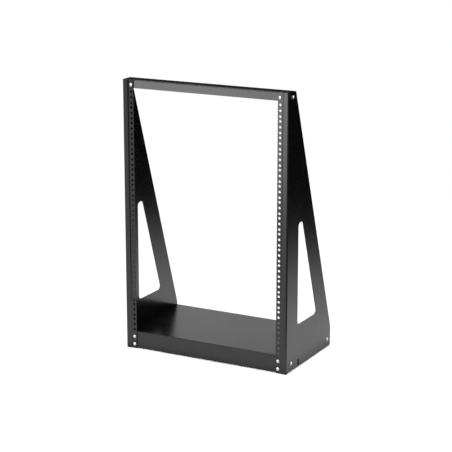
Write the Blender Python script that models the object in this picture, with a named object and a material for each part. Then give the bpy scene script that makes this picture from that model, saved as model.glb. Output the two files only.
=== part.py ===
"""Two-post open frame rack for equipment with 19 inch ears, folded from sheet steel.

Two tapered side panels carry the mounting rails on their front folds. A folded top bar and a
folded base tray join them, held by pan head screws with a hex nut behind each.

Units are metres, +Z is up, the front of the rack faces -Y, and the origin lies on the floor
below the middle of the rack's bounding box.
"""
import math

import bmesh
import bpy
from mathutils import Matrix, Vector

# Mounting pattern of the rails
UNITS = 16
RACK_UNIT = 0.04445
HOLES_IN_UNIT = (0.00635, 0.022225, 0.0381)
HOLE_SPACING = 0.4651
HOLE_DIAMETER = 0.0071
PATTERN_BASE = 0.0510
TOP_MARGIN = 0.0278

# Widths across a post, counted from its column of holes
RAIL_EDGE_MARGIN = 0.00715
EAR_MARGIN = 0.01055
STRIP_WIDTH = 0.0159

# Sheet metal
SHEET = 0.0020
BEND_RADIUS = 0.0020
JOGGLE_RADIUS = 0.0010
JOGGLE_STEP = 0.0023
BEND_STEPS = 6
JOGGLE_STEPS = 4
JOGGLE_SLANT = math.radians(60)
GAP = 0.0003
TINY = 1e-6

# Outline of a side panel, depths counted from the front of its front strip
TOP_DEPTH = 0.0452
BASE_DEPTH = 0.2945
KNEE_HEIGHT = 0.0588
KNEE_RADIUS = 0.0600
TOP_CORNER_RADIUS = 0.0030
FOOT_WIDTH = 0.0250
FOOT_SETBACK = 0.0060
RELIEF_WIDTH = 0.0012
RELIEF_HEIGHT = 0.0020

# Window in a side panel
WINDOW_FRONT_MARGIN = 0.0701
WINDOW_REAR_MARGIN = 0.0706
WINDOW_BOTTOM = 0.1260
WINDOW_TOP_WIDTH = 0.0268
WINDOW_RADIUS = 0.0120
WINDOW_STEPS = 6

# Upright slot low in a side panel, its place counted from the rail's front face
SLOT_WIDTH = 0.0080
SLOT_HEIGHT = 0.0170
SLOT_BEHIND_RAIL = 0.0750
SLOT_CENTRE_HEIGHT = 0.0150
SLOT_CORNER = 0.0015
SLOT_STEPS = 3

# Top bar and base tray
BAR_HEIGHT = 0.0240
BAR_SETBACK = 0.0005
TRAY_TOP = 0.0520
TRAY_SETBACK = 0.0022

# Places of the screws
TOP_SCREW_DROP = 0.0146
TRAY_SCREW_LOW = 0.0125
TRAY_SCREW_HIGH = 0.0354
SIDE_SCREW_HEIGHT = 0.0250
SIDE_SCREW_FRONT_INSET = 0.0242
SIDE_SCREW_REAR_INSET = 0.0215

# Screws and nuts
SCREW_DIAMETER = 0.0050
SCREW_LENGTH = 0.0100
HEAD_DIAMETER = 0.0095
HEAD_HEIGHT = 0.0034
HEAD_RIM = 0.0012
TIP_CHAMFER = 0.0006
CROSS_WIDTH = 0.0046
CROSS_SLOT = 0.0011
CROSS_DEPTH = 0.0016
CLEARANCE_DIAMETER = 0.0056
NUT_ACROSS_FLATS = 0.0080
NUT_HEIGHT = 0.0040
NUT_BORE = 0.0054
NUT_CHAMFER = 0.0005

# Facets of the round shapes
HOLE_FACETS = 16
HEAD_FACETS = 16
DOME_RINGS = 2
SHANK_FACETS = 12
NUT_SIDES = 6
SHARP_ANGLE = math.radians(35)

# Sizes that follow from the ones above
HEIGHT = PATTERN_BASE + UNITS * RACK_UNIT + TOP_MARGIN
OPENING_WIDTH = HOLE_SPACING - 2 * RAIL_EDGE_MARGIN
RECESS_WIDTH = HOLE_SPACING + 2 * EAR_MARGIN
WIDTH = RECESS_WIDTH + 2 * STRIP_WIDTH
OUTER_BEND = BEND_RADIUS + SHEET
MID_BEND = BEND_RADIUS + SHEET / 2
MID_JOGGLE = JOGGLE_RADIUS + SHEET / 2
JOGGLE_ANGLE = min(JOGGLE_SLANT, math.acos(max(-1.0, 1 - JOGGLE_STEP / (2 * MID_JOGGLE))))
JOGGLE_RAMP = JOGGLE_STEP - 2 * MID_JOGGLE * (1 - math.cos(JOGGLE_ANGLE))
FRONT_REACH = max(JOGGLE_STEP, GAP + HEAD_HEIGHT)
REAR_REACH = BASE_DEPTH - JOGGLE_STEP
RAIL_FACE = (FRONT_REACH - REAR_REACH) / 2
STRIP_FACE = RAIL_FACE - JOGGLE_STEP
REAR_EDGE = RAIL_FACE + REAR_REACH
TOP_REAR = STRIP_FACE + TOP_DEPTH
INNER_HALF = WIDTH / 2 - SHEET - GAP
FLANGE_FRONT = RAIL_FACE + SHEET + GAP
BAR_REAR = TOP_REAR - BAR_SETBACK
BAR_BOTTOM = HEIGHT - BAR_HEIGHT
TRAY_REAR = REAR_EDGE - TRAY_SETBACK
TRAY_BOTTOM = SHEET + GAP
TRAY_SIDE_BOTTOM = OUTER_BEND + GAP
GRIP = 2 * SHEET + GAP

COAT = {"colour": (0.018, 0.018, 0.019, 1.0), "roughness": 0.38, "metallic": 0.0}
ZINC = {"colour": (0.72, 0.73, 0.74, 1.0), "roughness": 0.28, "metallic": 1.0}


def clear_scene():
    """Remove every object that the open file holds."""
    for scene_object in list(bpy.data.objects):
        bpy.data.objects.remove(scene_object, do_unlink=True)


def finish_material(name, finish):
    """Make a Principled material from a finish's colour, roughness and metallic value."""
    material = bpy.data.materials.new(name)
    material.use_nodes = True
    shader = material.node_tree.nodes["Principled BSDF"]
    shader.inputs["Base Color"].default_value = finish["colour"]
    shader.inputs["Roughness"].default_value = finish["roughness"]
    shader.inputs["Metallic"].default_value = finish["metallic"]
    return material


def add_object(name, mesh, material=None):
    """Link an object that shows the mesh, with its material if it has one."""
    scene_object = bpy.data.objects.new(name, mesh)
    if material is not None:
        mesh.materials.clear()
        mesh.materials.append(material)
    bpy.context.scene.collection.objects.link(scene_object)
    return scene_object


def mesh_from(bm, name):
    """Turn a bmesh into a mesh that is smooth except at its sharp folds."""
    mesh = bpy.data.meshes.new(name)
    bm.to_mesh(mesh)
    bm.free()
    mesh.shade_smooth()
    mesh.set_sharp_from_angle(angle=SHARP_ANGLE)
    return mesh


def arc(centre, radius, start, end, steps):
    """Points of an arc in a plane, from the start angle to the end angle, both included."""
    points = []
    for step in range(steps + 1):
        angle = start + (end - start) * step / steps
        points.append((centre[0] + radius * math.cos(angle), centre[1] + radius * math.sin(angle)))
    return points


def rounded_polygon(corners, radii, steps):
    """Round the corners of a closed outline, each with its own radius, zero for a sharp one."""
    outline = []
    count = len(corners)
    for index, corner in enumerate(corners):
        here = Vector(corner)
        back = (Vector(corners[index - 1]) - here).normalized()
        ahead = (Vector(corners[(index + 1) % count]) - here).normalized()
        radius = radii[index]
        if radius <= 0:
            outline.append(tuple(here))
            continue
        half = back.angle(ahead) / 2
        reach = radius / math.tan(half)
        centre = here + (back + ahead).normalized() * (radius / math.sin(half))
        first = here + back * reach - centre
        last = here + ahead * reach - centre
        turn = first.angle_signed(last)
        for step in range(steps + 1):
            spoke = first.copy()
            spoke.rotate(Matrix.Rotation(-turn * step / steps, 2))
            outline.append(tuple(centre + spoke))
    return outline


def sweep_edge(bm, edge, path):
    """Extrude an edge along a path of points, the first of which lies on the edge."""
    here = Vector(path[0])
    for point in path[1:]:
        there = Vector(point)
        if (there - here).length < TINY:
            continue
        made = bmesh.ops.extrude_edge_only(bm, edges=[edge])["geom"]
        moved = [item for item in made if isinstance(item, bmesh.types.BMVert)]
        edge = next(item for item in made if isinstance(item, bmesh.types.BMEdge))
        bmesh.ops.translate(bm, verts=moved, vec=there - here)
        here = there


def edge_between(first, second):
    """The edge that joins two vertices."""
    return next(edge for edge in first.link_edges if edge.other_vert(first) is second)


def prism(bm, outline, axis, start, end):
    """Add a closed prism: an outline in the plane across an axis, from one level to another."""
    def place(point, level):
        if axis == "X":
            return Vector((level, point[0], point[1]))
        if axis == "Y":
            return Vector((point[0], level, point[1]))
        return Vector((point[0], point[1], level))

    base = [bm.verts.new(place(point, start)) for point in outline]
    face = bm.faces.new(base)
    made = bmesh.ops.extrude_face_region(bm, geom=[face])["geom"]
    moved = [item for item in made if isinstance(item, bmesh.types.BMVert)]
    shift = place(outline[0], end) - place(outline[0], start)
    bmesh.ops.translate(bm, verts=moved, vec=shift)


def circle(centre, diameter, facets):
    """Corners of a round hole, its flats turned up and sideways."""
    half_step = math.pi / facets
    points = arc(centre, diameter / 2, half_step, half_step + 2 * math.pi, facets)
    return points[:-1]


def add_cutter(name, bm):
    """Link a cutter, shown as wires only, from a bmesh of closed prisms."""
    bmesh.ops.recalc_face_normals(bm, faces=bm.faces)
    cutter = add_object(name, mesh_from(bm, name))
    cutter.hide_render = True
    cutter.display_type = "WIRE"
    return cutter


def cut(target, cutter):
    """Cut a cutter out of an object with an exact boolean."""
    modifier = target.modifiers.new(cutter.name, "BOOLEAN")
    modifier.operation = "DIFFERENCE"
    modifier.solver = "EXACT"
    modifier.object = cutter


def thicken(target):
    """Give a folded surface the thickness of the sheet, half to each side."""
    modifier = target.modifiers.new("sheet", "SOLIDIFY")
    modifier.thickness = SHEET
    modifier.offset = 0.0
    modifier.use_even_offset = True


def front_path():
    """Middle of the sheet from the side wall round the front strip to the rail flange's edge."""
    strip_mid = STRIP_FACE + SHEET / 2
    bend_x = WIDTH / 2 - OUTER_BEND
    bend_y = strip_mid + MID_BEND
    path = arc((bend_x, bend_y), MID_BEND, 0, -math.pi / 2, BEND_STEPS)
    joggle_x = RECESS_WIDTH / 2
    reach = MID_JOGGLE * math.sin(JOGGLE_ANGLE) + JOGGLE_RAMP / math.tan(JOGGLE_ANGLE) / 2
    quarter = math.pi / 2
    path += arc((joggle_x + reach, strip_mid + MID_JOGGLE), MID_JOGGLE,
                -quarter, -quarter - JOGGLE_ANGLE, JOGGLE_STEPS)
    rail_mid = RAIL_FACE + SHEET / 2
    path += arc((joggle_x - reach, rail_mid - MID_JOGGLE), MID_JOGGLE,
                quarter - JOGGLE_ANGLE, quarter, JOGGLE_STEPS)
    path.append((OPENING_WIDTH / 2, rail_mid))
    return path


def foot_path():
    """Middle of the sheet from the side wall round to the edge of the foot flange, as (x, z)."""
    bend_x = WIDTH / 2 - OUTER_BEND
    path = arc((bend_x, OUTER_BEND), MID_BEND, 0, -math.pi / 2, BEND_STEPS)
    path.append((WIDTH / 2 - FOOT_WIDTH, SHEET / 2))
    return path


def rear_slope():
    """Depth that the slanted rear edge gains for each metre down."""
    return (REAR_EDGE - TOP_REAR) / (HEIGHT - KNEE_HEIGHT)


def slant_depth(height):
    """Y of the slanted rear edge at a height."""
    return TOP_REAR + (HEIGHT - height) * rear_slope()


def wall_outline():
    """Outline of the flat side wall as (y, z), from the front fold's foot upwards."""
    fold = STRIP_FACE + SHEET / 2 + MID_BEND
    foot_start = STRIP_FACE + OUTER_BEND + FOOT_SETBACK
    relief_top = OUTER_BEND + RELIEF_HEIGHT
    corners = [(fold, 0.0), (fold, HEIGHT), (TOP_REAR, HEIGHT), (REAR_EDGE, KNEE_HEIGHT),
               (REAR_EDGE, OUTER_BEND), (foot_start, OUTER_BEND), (foot_start, relief_top),
               (foot_start - RELIEF_WIDTH, relief_top), (foot_start - RELIEF_WIDTH, 0.0)]
    radii = [0.0] * len(corners)
    radii[2] = TOP_CORNER_RADIUS
    radii[3] = KNEE_RADIUS
    return rounded_polygon(corners, radii, BEND_STEPS)


def window_outline():
    """Outline of the window as (y, z): upright in front, parallel to the slanted edge behind."""
    front = STRIP_FACE + WINDOW_FRONT_MARGIN
    inset = WINDOW_REAR_MARGIN * math.hypot(1, rear_slope())
    top_rear = front + WINDOW_TOP_WIDTH
    top = HEIGHT - (top_rear + inset - TOP_REAR) / rear_slope()
    corners = [(front, WINDOW_BOTTOM), (front, top), (top_rear, top),
               (slant_depth(WINDOW_BOTTOM) - inset, WINDOW_BOTTOM)]
    return rounded_polygon(corners, [WINDOW_RADIUS] * len(corners), WINDOW_STEPS)


def slot_outline():
    """Outline of the upright slot as (y, z)."""
    middle = RAIL_FACE + SLOT_BEHIND_RAIL
    low = SLOT_CENTRE_HEIGHT - SLOT_HEIGHT / 2
    high = SLOT_CENTRE_HEIGHT + SLOT_HEIGHT / 2
    half = SLOT_WIDTH / 2
    corners = [(middle - half, low), (middle - half, high),
               (middle + half, high), (middle + half, low)]
    return rounded_polygon(corners, [SLOT_CORNER] * len(corners), SLOT_STEPS)


def rail_hole_heights():
    """Heights of the mounting holes, unit by unit."""
    return [PATTERN_BASE + unit * RACK_UNIT + offset
            for unit in range(UNITS) for offset in HOLES_IN_UNIT]


def front_screws():
    """Name and height of the screws through each rail flange."""
    return {"front_top": HEIGHT - TOP_SCREW_DROP, "front_upper": TRAY_SCREW_HIGH,
            "front_lower": TRAY_SCREW_LOW}


def side_screws():
    """Name and (y, z) of the screws through each side wall."""
    bar_middle = (FLANGE_FRONT + BAR_REAR) / 2
    return {"side_top": (bar_middle, HEIGHT - TOP_SCREW_DROP),
            "side_front": (FLANGE_FRONT + SIDE_SCREW_FRONT_INSET, SIDE_SCREW_HEIGHT),
            "side_rear": (TRAY_REAR - SIDE_SCREW_REAR_INSET, SIDE_SCREW_HEIGHT)}


def add_screw_holes(bm, sides, names):
    """Add the clearance holes of the named screws to a cutter, on the given sides of the rack."""
    reach = GRIP + GAP
    for side in sides:
        for screw, height in front_screws().items():
            if screw in names:
                outline = circle((side * HOLE_SPACING / 2, height), CLEARANCE_DIAMETER, SHANK_FACETS)
                prism(bm, outline, "Y", RAIL_FACE - GAP, RAIL_FACE + reach)
        for screw, centre in side_screws().items():
            if screw in names:
                outline = circle(centre, CLEARANCE_DIAMETER, SHANK_FACETS)
                prism(bm, outline, "X", side * (WIDTH / 2 + GAP), side * (WIDTH / 2 - reach))


def side_panel(name, side):
    """One side panel: wall, front folds with the rail, foot flange, window, slot and holes."""
    bm = bmesh.new()
    wall_x = side * (WIDTH / 2 - SHEET / 2)
    outline = wall_outline()
    verts = [bm.verts.new((wall_x, y, z)) for y, z in outline]
    bm.faces.new(verts)
    front = [(side * x, y, 0.0) for x, y in front_path()]
    sweep_edge(bm, edge_between(verts[0], verts[1]), front)
    foot_ends = [vert for vert in verts if abs(vert.co.z - OUTER_BEND) < TINY]
    foot = [(side * x, 0.0, z) for x, z in foot_path()]
    sweep_edge(bm, edge_between(*foot_ends), foot)
    bmesh.ops.recalc_face_normals(bm, faces=bm.faces)
    panel = add_object(name, mesh_from(bm, name), finish_material(name + "_coat", COAT))
    thicken(panel)

    bm = bmesh.new()
    inner = side * (WIDTH / 2 - SHEET - GAP)
    outer = side * (WIDTH / 2 + GAP)
    prism(bm, window_outline(), "X", inner, outer)
    prism(bm, slot_outline(), "X", inner, outer)
    for height in rail_hole_heights():
        outline = circle((side * HOLE_SPACING / 2, height), HOLE_DIAMETER, HOLE_FACETS)
        prism(bm, outline, "Y", RAIL_FACE - GAP, RAIL_FACE + SHEET + GAP)
    add_screw_holes(bm, [side], list(front_screws()) + list(side_screws()))
    cut(panel, add_cutter(name + "_openings", bm))


def folded_lid(name, front, rear, bottom, top, side_bottom):
    """A sheet with four flanges folded down, as wide as fits between the side walls."""
    bm = bmesh.new()
    half_flat = INNER_HALF - OUTER_BEND
    front_flat = front + OUTER_BEND
    rear_flat = rear - OUTER_BEND
    level = top - SHEET / 2
    corners = [(-half_flat, front_flat), (half_flat, front_flat),
               (half_flat, rear_flat), (-half_flat, rear_flat)]
    verts = [bm.verts.new((x, y, level)) for x, y in corners]
    bm.faces.new(verts)
    bend = arc((0.0, level - MID_BEND), MID_BEND, math.pi / 2, 0, BEND_STEPS)
    flanges = [(0, -1, bottom), (1, 0, side_bottom), (0, 1, bottom), (-1, 0, side_bottom)]
    for index, (out_x, out_y, end) in enumerate(flanges):
        edge = edge_between(verts[index], verts[(index + 1) % len(verts)])
        path = bend + [(MID_BEND, end)]
        sweep_edge(bm, edge, [(out_x * out, out_y * out, height) for out, height in path])
    bmesh.ops.recalc_face_normals(bm, faces=bm.faces)
    lid = add_object(name, mesh_from(bm, name), finish_material(name + "_coat", COAT))
    thicken(lid)
    return lid


def top_bar():
    """The bar that joins the posts at the top."""
    bar = folded_lid("top_bar", FLANGE_FRONT, BAR_REAR, BAR_BOTTOM, HEIGHT, BAR_BOTTOM)
    bm = bmesh.new()
    add_screw_holes(bm, [-1, 1], ["front_top", "side_top"])
    cut(bar, add_cutter("top_bar_openings", bm))


def base_tray():
    """The shelf between the side panels, standing on their foot flanges."""
    tray = folded_lid("base_tray", FLANGE_FRONT, TRAY_REAR, TRAY_BOTTOM, TRAY_TOP, TRAY_SIDE_BOTTOM)
    bm = bmesh.new()
    add_screw_holes(bm, [-1, 1], ["front_upper", "front_lower", "side_front", "side_rear"])
    cut(tray, add_cutter("base_tray_openings", bm))


def turned(profile, facets):
    """A closed solid turned from a profile of (radius, z) points that starts and ends on the axis."""
    bm = bmesh.new()
    verts = [bm.verts.new((radius, 0.0, z)) for radius, z in profile]
    edges = [bm.edges.new(pair) for pair in zip(verts, verts[1:])]
    bmesh.ops.spin(bm, geom=verts + edges, cent=(0, 0, 0), axis=(0, 0, 1), dvec=(0, 0, 0),
                   angle=2 * math.pi, steps=facets, use_merge=True, use_duplicate=False)
    bmesh.ops.remove_doubles(bm, verts=bm.verts, dist=TINY)
    bmesh.ops.recalc_face_normals(bm, faces=bm.faces)
    return bm


def evaluated_mesh(source, name):
    """Mesh of an object with its modifiers applied, after which the object is removed."""
    bpy.context.view_layer.update()
    evaluated = source.evaluated_get(bpy.context.evaluated_depsgraph_get())
    mesh = bpy.data.meshes.new_from_object(evaluated)
    mesh.name = name
    mesh.set_sharp_from_angle(angle=SHARP_ANGLE)
    bpy.data.objects.remove(source, do_unlink=True)
    return mesh


def screw_mesh():
    """Pan head screw along +Z: the head above the plane z = 0, the shank below it."""
    head = HEAD_DIAMETER / 2
    shank = SCREW_DIAMETER / 2
    crown = HEAD_HEIGHT - HEAD_RIM
    dome_radius = (head * head + crown * crown) / (2 * crown)
    dome_half = math.asin(head / dome_radius)
    profile = [(0.0, -SCREW_LENGTH), (shank - TIP_CHAMFER, -SCREW_LENGTH),
               (shank, -SCREW_LENGTH + TIP_CHAMFER), (shank, 0.0), (head, 0.0)]
    for step in range(DOME_RINGS + 1):
        angle = dome_half * (1 - step / DOME_RINGS)
        drop = dome_radius * (1 - math.cos(angle))
        profile.append((dome_radius * math.sin(angle), HEAD_HEIGHT - drop))
    screw = add_object("screw_blank", mesh_from(turned(profile, HEAD_FACETS), "screw_blank"))

    bm = bmesh.new()
    wide = CROSS_WIDTH / 2
    slim = CROSS_SLOT / 2
    cross = [(slim, slim), (slim, wide), (-slim, wide), (-slim, slim), (-wide, slim), (-wide, -slim),
             (-slim, -slim), (-slim, -wide), (slim, -wide), (slim, -slim), (wide, -slim), (wide, slim)]
    prism(bm, cross, "Z", HEAD_HEIGHT - CROSS_DEPTH, HEAD_HEIGHT + CROSS_DEPTH)
    recess = add_cutter("screw_recess", bm)
    cut(screw, recess)
    mesh = evaluated_mesh(screw, "pan_head_screw")
    bpy.data.objects.remove(recess, do_unlink=True)
    return mesh


def nut_mesh():
    """Hex nut with chamfered corners, standing on the plane z = 0."""
    bm = bmesh.new()
    hexagon = circle((0.0, 0.0), NUT_ACROSS_FLATS / math.cos(math.pi / NUT_SIDES), NUT_SIDES)
    prism(bm, hexagon, "Z", 0.0, NUT_HEIGHT)
    bmesh.ops.bevel(bm, geom=list(bm.verts), offset=NUT_CHAMFER, segments=1, affect="VERTICES")
    bmesh.ops.recalc_face_normals(bm, faces=bm.faces)
    nut = add_object("nut_blank", mesh_from(bm, "nut_blank"))
    bm = bmesh.new()
    prism(bm, circle((0.0, 0.0), NUT_BORE, SHANK_FACETS), "Z", -NUT_HEIGHT, 2 * NUT_HEIGHT)
    bore = add_cutter("nut_bore", bm)
    cut(nut, bore)
    mesh = evaluated_mesh(nut, "hex_nut")
    bpy.data.objects.remove(bore, do_unlink=True)
    return mesh


def fasten(name, seat, outwards, meshes):
    """Place a screw at its seat on the outer face, pointing outwards, and its nut behind."""
    facing = outwards.to_track_quat("Z", "Y")
    screw = add_object("screw_" + name, meshes["screw"])
    screw.rotation_mode = "QUATERNION"
    screw.rotation_quaternion = facing
    screw.location = seat + outwards * GAP
    nut = add_object("nut_" + name, meshes["nut"])
    nut.rotation_mode = "QUATERNION"
    nut.rotation_quaternion = facing
    nut.location = seat - outwards * (GRIP + GAP + NUT_HEIGHT)


def fasteners():
    """Every screw with its nut, on both sides of the rack."""
    meshes = {"screw": screw_mesh(), "nut": nut_mesh()}
    meshes["screw"].materials.clear()
    meshes["screw"].materials.append(finish_material("screw_zinc", ZINC))
    meshes["nut"].materials.clear()
    meshes["nut"].materials.append(finish_material("nut_zinc", ZINC))
    for label, side in (("left", -1), ("right", 1)):
        for screw, height in front_screws().items():
            seat = Vector((side * HOLE_SPACING / 2, RAIL_FACE, height))
            fasten(f"{screw}_{label}", seat, Vector((0, -1, 0)), meshes)
        for screw, (depth, height) in side_screws().items():
            seat = Vector((side * WIDTH / 2, depth, height))
            fasten(f"{screw}_{label}", seat, Vector((side, 0, 0)), meshes)


def main():
    """Build the whole rack."""
    clear_scene()
    side_panel("left_side_panel", -1)
    side_panel("right_side_panel", 1)
    top_bar()
    base_tray()
    fasteners()


main()
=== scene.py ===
"""Two-post open frame rack of folded sheet steel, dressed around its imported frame.

The folded sheets, their screws and nuts are modelled again with finer bends, rounded sheet edges,
threads and cross recesses, each in the place of the solid that it stands for. Units are metres,
+Z is up and the front of the rack faces -Y.
"""

import logging
import math
from dataclasses import dataclass, field
from enum import Enum

import bmesh
import bpy
from bmesh.types import BMEdge, BMesh, BMFace, BMVert
from bpy.types import Material
from mathutils import Matrix, Vector


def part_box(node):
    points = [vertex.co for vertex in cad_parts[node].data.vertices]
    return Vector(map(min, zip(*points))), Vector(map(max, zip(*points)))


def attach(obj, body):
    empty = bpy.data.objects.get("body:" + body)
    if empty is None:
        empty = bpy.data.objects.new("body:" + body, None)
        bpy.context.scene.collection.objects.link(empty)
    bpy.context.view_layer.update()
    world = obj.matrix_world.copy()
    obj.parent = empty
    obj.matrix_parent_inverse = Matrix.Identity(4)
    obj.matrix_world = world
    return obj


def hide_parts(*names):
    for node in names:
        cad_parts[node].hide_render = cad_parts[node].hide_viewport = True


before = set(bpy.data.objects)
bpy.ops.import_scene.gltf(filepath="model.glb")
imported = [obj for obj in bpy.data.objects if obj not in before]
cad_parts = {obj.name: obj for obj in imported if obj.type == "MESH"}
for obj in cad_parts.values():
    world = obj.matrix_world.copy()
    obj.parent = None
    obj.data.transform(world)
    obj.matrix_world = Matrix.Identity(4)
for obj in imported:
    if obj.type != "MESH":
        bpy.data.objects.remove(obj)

LOG = logging.getLogger("rack")
BODY = "root"
MM = 0.001
MERGE_DISTANCE = 1e-6
SHARP_ANGLE = math.radians(35)
QUARTER_TURN = math.pi / 2
FULL_TURN = 2 * math.pi
EDGE_SEGMENTS = 2
NOISE_LOW, NOISE_HIGH = 0.3, 0.7    # a noise texture keeps between these nearly everywhere
WHITE = (1.0, 1.0, 1.0, 1.0)
PANELS = ("left_side_panel", "right_side_panel")
COATED_NODES = (*PANELS, "base_tray", "top_bar")

Solid = bpy.types.Object
Mesh = bpy.types.Mesh
Tree = bpy.types.NodeTree
Socket = bpy.types.NodeSocket


class Side(Enum):
    """The side of the rack that a piece is on, with the sign of its X."""

    LEFT = -1
    RIGHT = 1

    @property
    def word(self) -> str:
        """The side's name in lower case."""
        return self.name.lower()


class Slot(Enum):
    """The slots of the two finishes, coat and zinc."""

    COAT = "coat"
    ZINC = "zinc"


class ScrewPlace(Enum):
    """Where each screw of a side sits, as its node is named."""

    FRONT_TOP = "front_top"
    FRONT_UPPER = "front_upper"
    FRONT_LOWER = "front_lower"
    SIDE_TOP = "side_top"
    SIDE_FRONT = "side_front"
    SIDE_REAR = "side_rear"

    @property
    def in_front(self) -> bool:
        """Whether the screw goes through the rail's face and not through the side wall."""
        return self.value.startswith("front")

    def node(self, kind: str, side: Side) -> str:
        """The name of the screw's or the nut's node on a side."""
        return f"{kind}_{self.value}_{side.word}"

    def outwards(self, side: Side) -> Vector:
        """Unit vector out of the face that the screw goes into."""
        return Vector((0, -1, 0)) if self.in_front else Vector((side.value, 0, 0))


def linear_colour(hex_code: str) -> tuple[float, float, float, float]:
    """Turn an sRGB colour into the linear values that a shader takes.

    Args:
        hex_code: The colour as #RRGGBB.

    Returns:
        Linear red, green and blue with an alpha of 1.
    """
    channels = [int(hex_code[index:index + 2], 16) / 255 for index in (1, 3, 5)]
    red, green, blue = (value / 12.92 if value <= 0.04045 else ((value + 0.055) / 1.055) ** 2.4
                        for value in channels)
    return red, green, blue, 1.0


def add_node(tree: Tree, kind: str, settings: dict | None = None,
             links: dict | None = None) -> bpy.types.Node:
    """Add a node to a tree with its settings and its incoming links.

    Args:
        tree: The node tree.
        kind: The node's type name.
        settings: Values by name, for attributes of the node or, where it has none, its inputs.
            A number names the input in that place.
        links: Output sockets by the name or the number of the input that they feed.

    Returns:
        The new node.
    """
    node = tree.nodes.new(kind)
    for name, value in (settings or {}).items():
        if isinstance(name, str) and hasattr(node, name):
            setattr(node, name, value)
        else:
            node.inputs[name].default_value = value
    for name, socket in (links or {}).items():
        tree.links.new(socket, node.inputs[name])
    return node


def empty_material(name: str) -> Material:
    """Make a material whose node tree is empty.

    Args:
        name: The material's name.

    Returns:
        The new material.
    """
    material = bpy.data.materials.new(name)
    material.use_nodes = True
    material.node_tree.nodes.clear()
    return material


@dataclass(frozen=True)
class Pattern:
    """A noise in a finish: the length of its waves, its detail and the height of its relief."""

    length: float
    detail: float
    height: float = 0.0


@dataclass(frozen=True)
class Finish:
    """A finish with two close tints, whose gloss changes with them, over a fine relief."""

    name: str
    roughness: float
    roughness_spread: float
    colour_low: str
    colour_high: str
    clouds: Pattern
    relief: tuple[Pattern, ...]
    constants: tuple[tuple[str, float], ...]

    def material(self) -> Material:
        """Build the material.

        Returns:
            The finished material, which reads Object coordinates.
        """
        material = empty_material(self.name)
        tree = material.node_tree
        place = add_node(tree, "ShaderNodeTexCoord").outputs["Object"]
        noise = {pattern: add_node(tree, "ShaderNodeTexNoise",
                                   {"Scale": 1 / pattern.length, "Detail": pattern.detail},
                                   {"Vector": place}).outputs["Fac"]
                 for pattern in dict.fromkeys((self.clouds, *self.relief))}
        cloud = noise[self.clouds]
        tint = add_node(tree, "ShaderNodeMixRGB",
                        {"Color1": linear_colour(self.colour_low),
                         "Color2": linear_colour(self.colour_high)}, {"Fac": cloud})
        polish = add_node(tree, "ShaderNodeMapRange",
                          {"From Min": NOISE_LOW, "From Max": NOISE_HIGH,
                           "To Min": self.roughness - self.roughness_spread,
                           "To Max": self.roughness + self.roughness_spread}, {"Value": cloud})
        below = {}
        for pattern in self.relief:
            bump = add_node(tree, "ShaderNodeBump", {"Distance": pattern.height},
                            {"Height": noise[pattern], **below})
            below = {"Normal": bump.outputs["Normal"]}
        shader = add_node(tree, "ShaderNodeBsdfPrincipled", dict(self.constants),
                          {"Base Color": tint.outputs["Color"],
                           "Roughness": polish.outputs["Result"], **below})
        add_node(tree, "ShaderNodeOutputMaterial", {}, {"Surface": shader.outputs["BSDF"]})
        return material


@dataclass(frozen=True)
class PowderCoat(Finish):
    """Black polyester powder coat, sprayed and stoved on steel.

    It flows out to a semi-gloss skin with a faint orange peel and a fine grain, so bright
    surroundings show in it as soft patches and the rounded edges of the sheets catch the light.
    """

    roughness: float = 0.26
    roughness_spread: float = 0.02
    colour_low: str = "#0C0C0D"
    colour_high: str = "#121213"
    clouds: Pattern = Pattern(85 * MM, 3.0)
    relief: tuple[Pattern, ...] = (Pattern(2.4 * MM, 1.0, 0.006 * MM),
                                   Pattern(0.7 * MM, 2.0, 0.0015 * MM))
    constants: tuple[tuple[str, float], ...] = (("IOR", 1.55),)


@dataclass(frozen=True)
class ZincPlate(Finish):
    """Bright zinc plate on cold-headed steel, with a thin blue passivation.

    It mirrors the studio softly, with the fine marks of the tumbling drum.
    """

    roughness: float = 0.42
    roughness_spread: float = 0.06
    colour_low: str = "#CFD1D4"
    colour_high: str = "#E2E3E4"
    clouds: Pattern = Pattern(0.9 * MM, 3.0, 0.004 * MM)
    relief: tuple[Pattern, ...] = (clouds,)
    constants: tuple[tuple[str, float], ...] = (("Metallic", 1.0),)


def link_object(name: str, mesh: Mesh) -> Solid:
    """Link a new object to the scene.

    Args:
        name: The object's name.
        mesh: The mesh that it shows.

    Returns:
        The new object, at the origin.
    """
    new_object = bpy.data.objects.new(name, mesh)
    bpy.context.scene.collection.objects.link(new_object)
    return new_object


def mesh_object(name: str, bm: BMesh) -> Solid:
    """Turn a bmesh into an object and free it.

    Args:
        name: The name of the object and its mesh.
        bm: The bmesh, which is used up.

    Returns:
        The new object, at the origin.
    """
    mesh = bpy.data.meshes.new(name)
    bm.to_mesh(mesh)
    bm.free()
    return link_object(name, mesh)


def only(kind: type, made: list) -> list:
    """The geometry of one kind among what an operator made."""
    return [item for item in made if isinstance(item, kind)]


def add_boolean(target: Solid, tool: Solid, operation: str) -> None:
    """Give an object a live exact boolean.

    Args:
        target: The object that is shaped.
        tool: The shape that it is combined with.
        operation: DIFFERENCE, INTERSECT or UNION.
    """
    modifier = target.modifiers.new(tool.name, "BOOLEAN")
    modifier.operation = operation
    modifier.solver = "EXACT"
    modifier.object = tool


def round_edges(target: Solid, radius: float) -> None:
    """Round the sharp edges of an object and shade its flat faces flat.

    Args:
        target: The object.
        radius: Radius of the rounding.
    """
    bevel = target.modifiers.new("rounded edges", "BEVEL")
    bevel.width = radius
    bevel.segments = EDGE_SEGMENTS
    bevel.profile = 0.5
    bevel.limit_method = "ANGLE"
    bevel.angle_limit = SHARP_ANGLE
    shading = target.modifiers.new("flat faces", "WEIGHTED_NORMAL")
    shading.weight = 100
    shading.keep_sharp = True


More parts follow.
